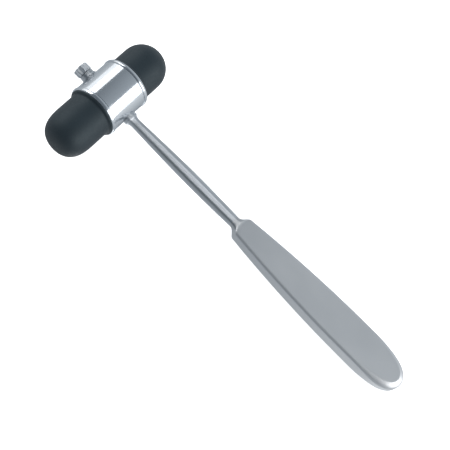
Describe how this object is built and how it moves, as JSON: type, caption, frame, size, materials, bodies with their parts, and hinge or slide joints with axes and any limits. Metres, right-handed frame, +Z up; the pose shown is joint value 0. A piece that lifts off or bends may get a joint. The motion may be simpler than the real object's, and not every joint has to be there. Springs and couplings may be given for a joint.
{
  "type": "reflex hammer",
  "caption": "Neurological reflex hammer: a short metal barrel with a rubber bumper at each end, across a slim shaft with a flat tapered grip, and a screw-in needle on top.",
  "frame": {"origin": "centre of the hammer's footprint, on the surface it lies on", "axes": "+Y along the hammer from the grip's end to the needle knob, +Z up from the surface the hammer lies on, +X towards the shorter bumper. The hammer rests on its two end rims and the far end of the grip, so the shaft rises towards the head by 2.6 degrees."},
  "size_m": [0.0708, 0.2096, 0.0267],
  "materials": {
    "polished_steel": "polished",
    "barrel_steel": "polished",
    "satin_steel": "satin",
    "inner_brass": "machined",
    "bumper_rubber": "matte"
  },
  "bodies": {
    "hammer": {"handle": "satin_steel", "shaft": "polished_steel", "head_barrel": "barrel_steel", "long_end_rim": "barrel_steel", "short_end_rim": "barrel_steel", "long_bumper": "bumper_rubber", "short_bumper": "bumper_rubber", "needle_socket": "polished_steel", "head_core": "inner_brass", "long_bumper_stud": "inner_brass", "short_bumper_stud": "inner_brass"},
    "needle": {"needle": "polished_steel"},
    "needle_knob": {"needle_knob": "polished_steel"}
  },
  "joints": [
    {"name": "needle_rise", "type": "slide", "parent": "hammer", "child": "needle", "axis": [0, 0.999, 0.045], "range_m": [0, 0.005]},
    {"name": "knob_turn", "type": "hinge", "parent": "needle", "child": "needle_knob", "pos_m": [0.00147, 0.10071, 0.01405], "axis": [0, 0.999, 0.045], "range_deg": [0, 3600.01]}
  ],
  "couplings": [
    {"joint": "knob_turn", "follows": "needle_rise", "rad_per_m": 12566}
  ]
}
